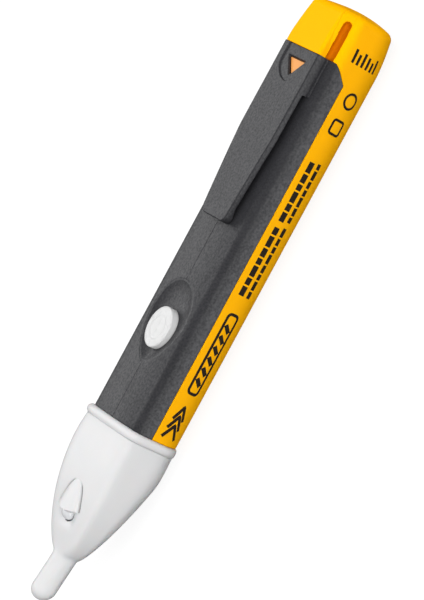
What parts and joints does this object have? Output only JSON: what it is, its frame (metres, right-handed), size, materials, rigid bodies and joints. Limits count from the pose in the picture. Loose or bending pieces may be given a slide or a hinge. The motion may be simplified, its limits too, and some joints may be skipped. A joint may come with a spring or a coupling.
{
  "type": "non contact voltage tester",
  "caption": "Pen shaped non contact voltage tester with a translucent nose, round push button, pocket clip and a slide-out battery tray under a latch.",
  "frame": {"origin": "middle of the flat back face, half way along the tester", "axes": "+X along the tester from the probe tip to the end cap, +Z out of the front face with the button and the clip"},
  "size_m": [0.15, 0.0224, 0.019],
  "materials": {
    "grey_plastic": "fine moulded grain",
    "yellow_plastic": "satin",
    "latch_plastic": "satin",
    "nose_plastic": "translucent, satin",
    "button_plastic": "semi gloss",
    "black_plastic": "matt",
    "switch_steel": "stamped plate",
    "board": "solder mask",
    "chip": "moulded epoxy",
    "passives": "ceramic with tinned ends",
    "screw_steel": "zinc plated",
    "buzzer_case": "matt",
    "clear_lens": "clear epoxy",
    "tinned_wire": "tinned",
    "red_lens": "red epoxy",
    "contact_brass": "stamped strip",
    "wire_jacket": "smooth sleeve",
    "cell_jacket": "printed sleeve",
    "cell_steel": "nickel plated",
    "spring_steel": "bright wire"
  },
  "bodies": {
    "body": {"front_shell": "grey_plastic", "nose_cone": "nose_plastic", "tact_switch": "switch_steel", "circuit_board": "board", "controller_chip": "chip", "board_passives": "passives", "board_screws": "screw_steel", "buzzer": "buzzer_case", "torch_led": "clear_lens", "torch_led_leads": "tinned_wire", "indicator_led": "red_lens", "indicator_led_leads": "tinned_wire", "sensor_probe": "contact_brass", "sensor_lead": "wire_jacket", "front_contact": "contact_brass", "contact_finger": "contact_brass"},
    "tray": {"battery_tray": "yellow_plastic", "battery_front": "cell_jacket", "battery_rear": "cell_jacket", "battery_studs": "cell_steel", "cap_spring": "spring_steel", "return_strip": "contact_brass"},
    "latch": {"latch_tab": "latch_plastic"},
    "clip": {"pocket_clip": "grey_plastic"},
    "button": {"push_button": "button_plastic"},
    "plunger": {"switch_plunger": "black_plastic"}
  },
  "joints": [
    {"name": "tray_slide", "type": "slide", "parent": "body", "child": "tray", "axis": [1, 0, 0], "range_m": [0, 0.1]},
    {"name": "latch_press", "type": "hinge", "parent": "tray", "child": "latch", "pos_m": [0.0643, 0, 0.014], "axis": [0, -1, 0], "range_deg": [0, 7], "stiffness_Nm_per_rad": 0.0005},
    {"name": "clip_flex", "type": "hinge", "parent": "body", "child": "clip", "pos_m": [0.0525, 0, 0.0177], "axis": [0, 1, 0], "range_deg": [0, 7], "stiffness_Nm_per_rad": 0.02},
    {"name": "button_press", "type": "slide", "parent": "body", "child": "button", "axis": [0, 0, -1], "range_m": [0, 0.00045], "stiffness_N_per_m": 40},
    {"name": "plunger_press", "type": "slide", "parent": "body", "child": "plunger", "axis": [0, 0, -1], "range_m": [0, 0.00045]}
  ],
  "couplings": [
    {"joint": "plunger_press", "follows": "button_press", "ratio": 1}
  ]
}
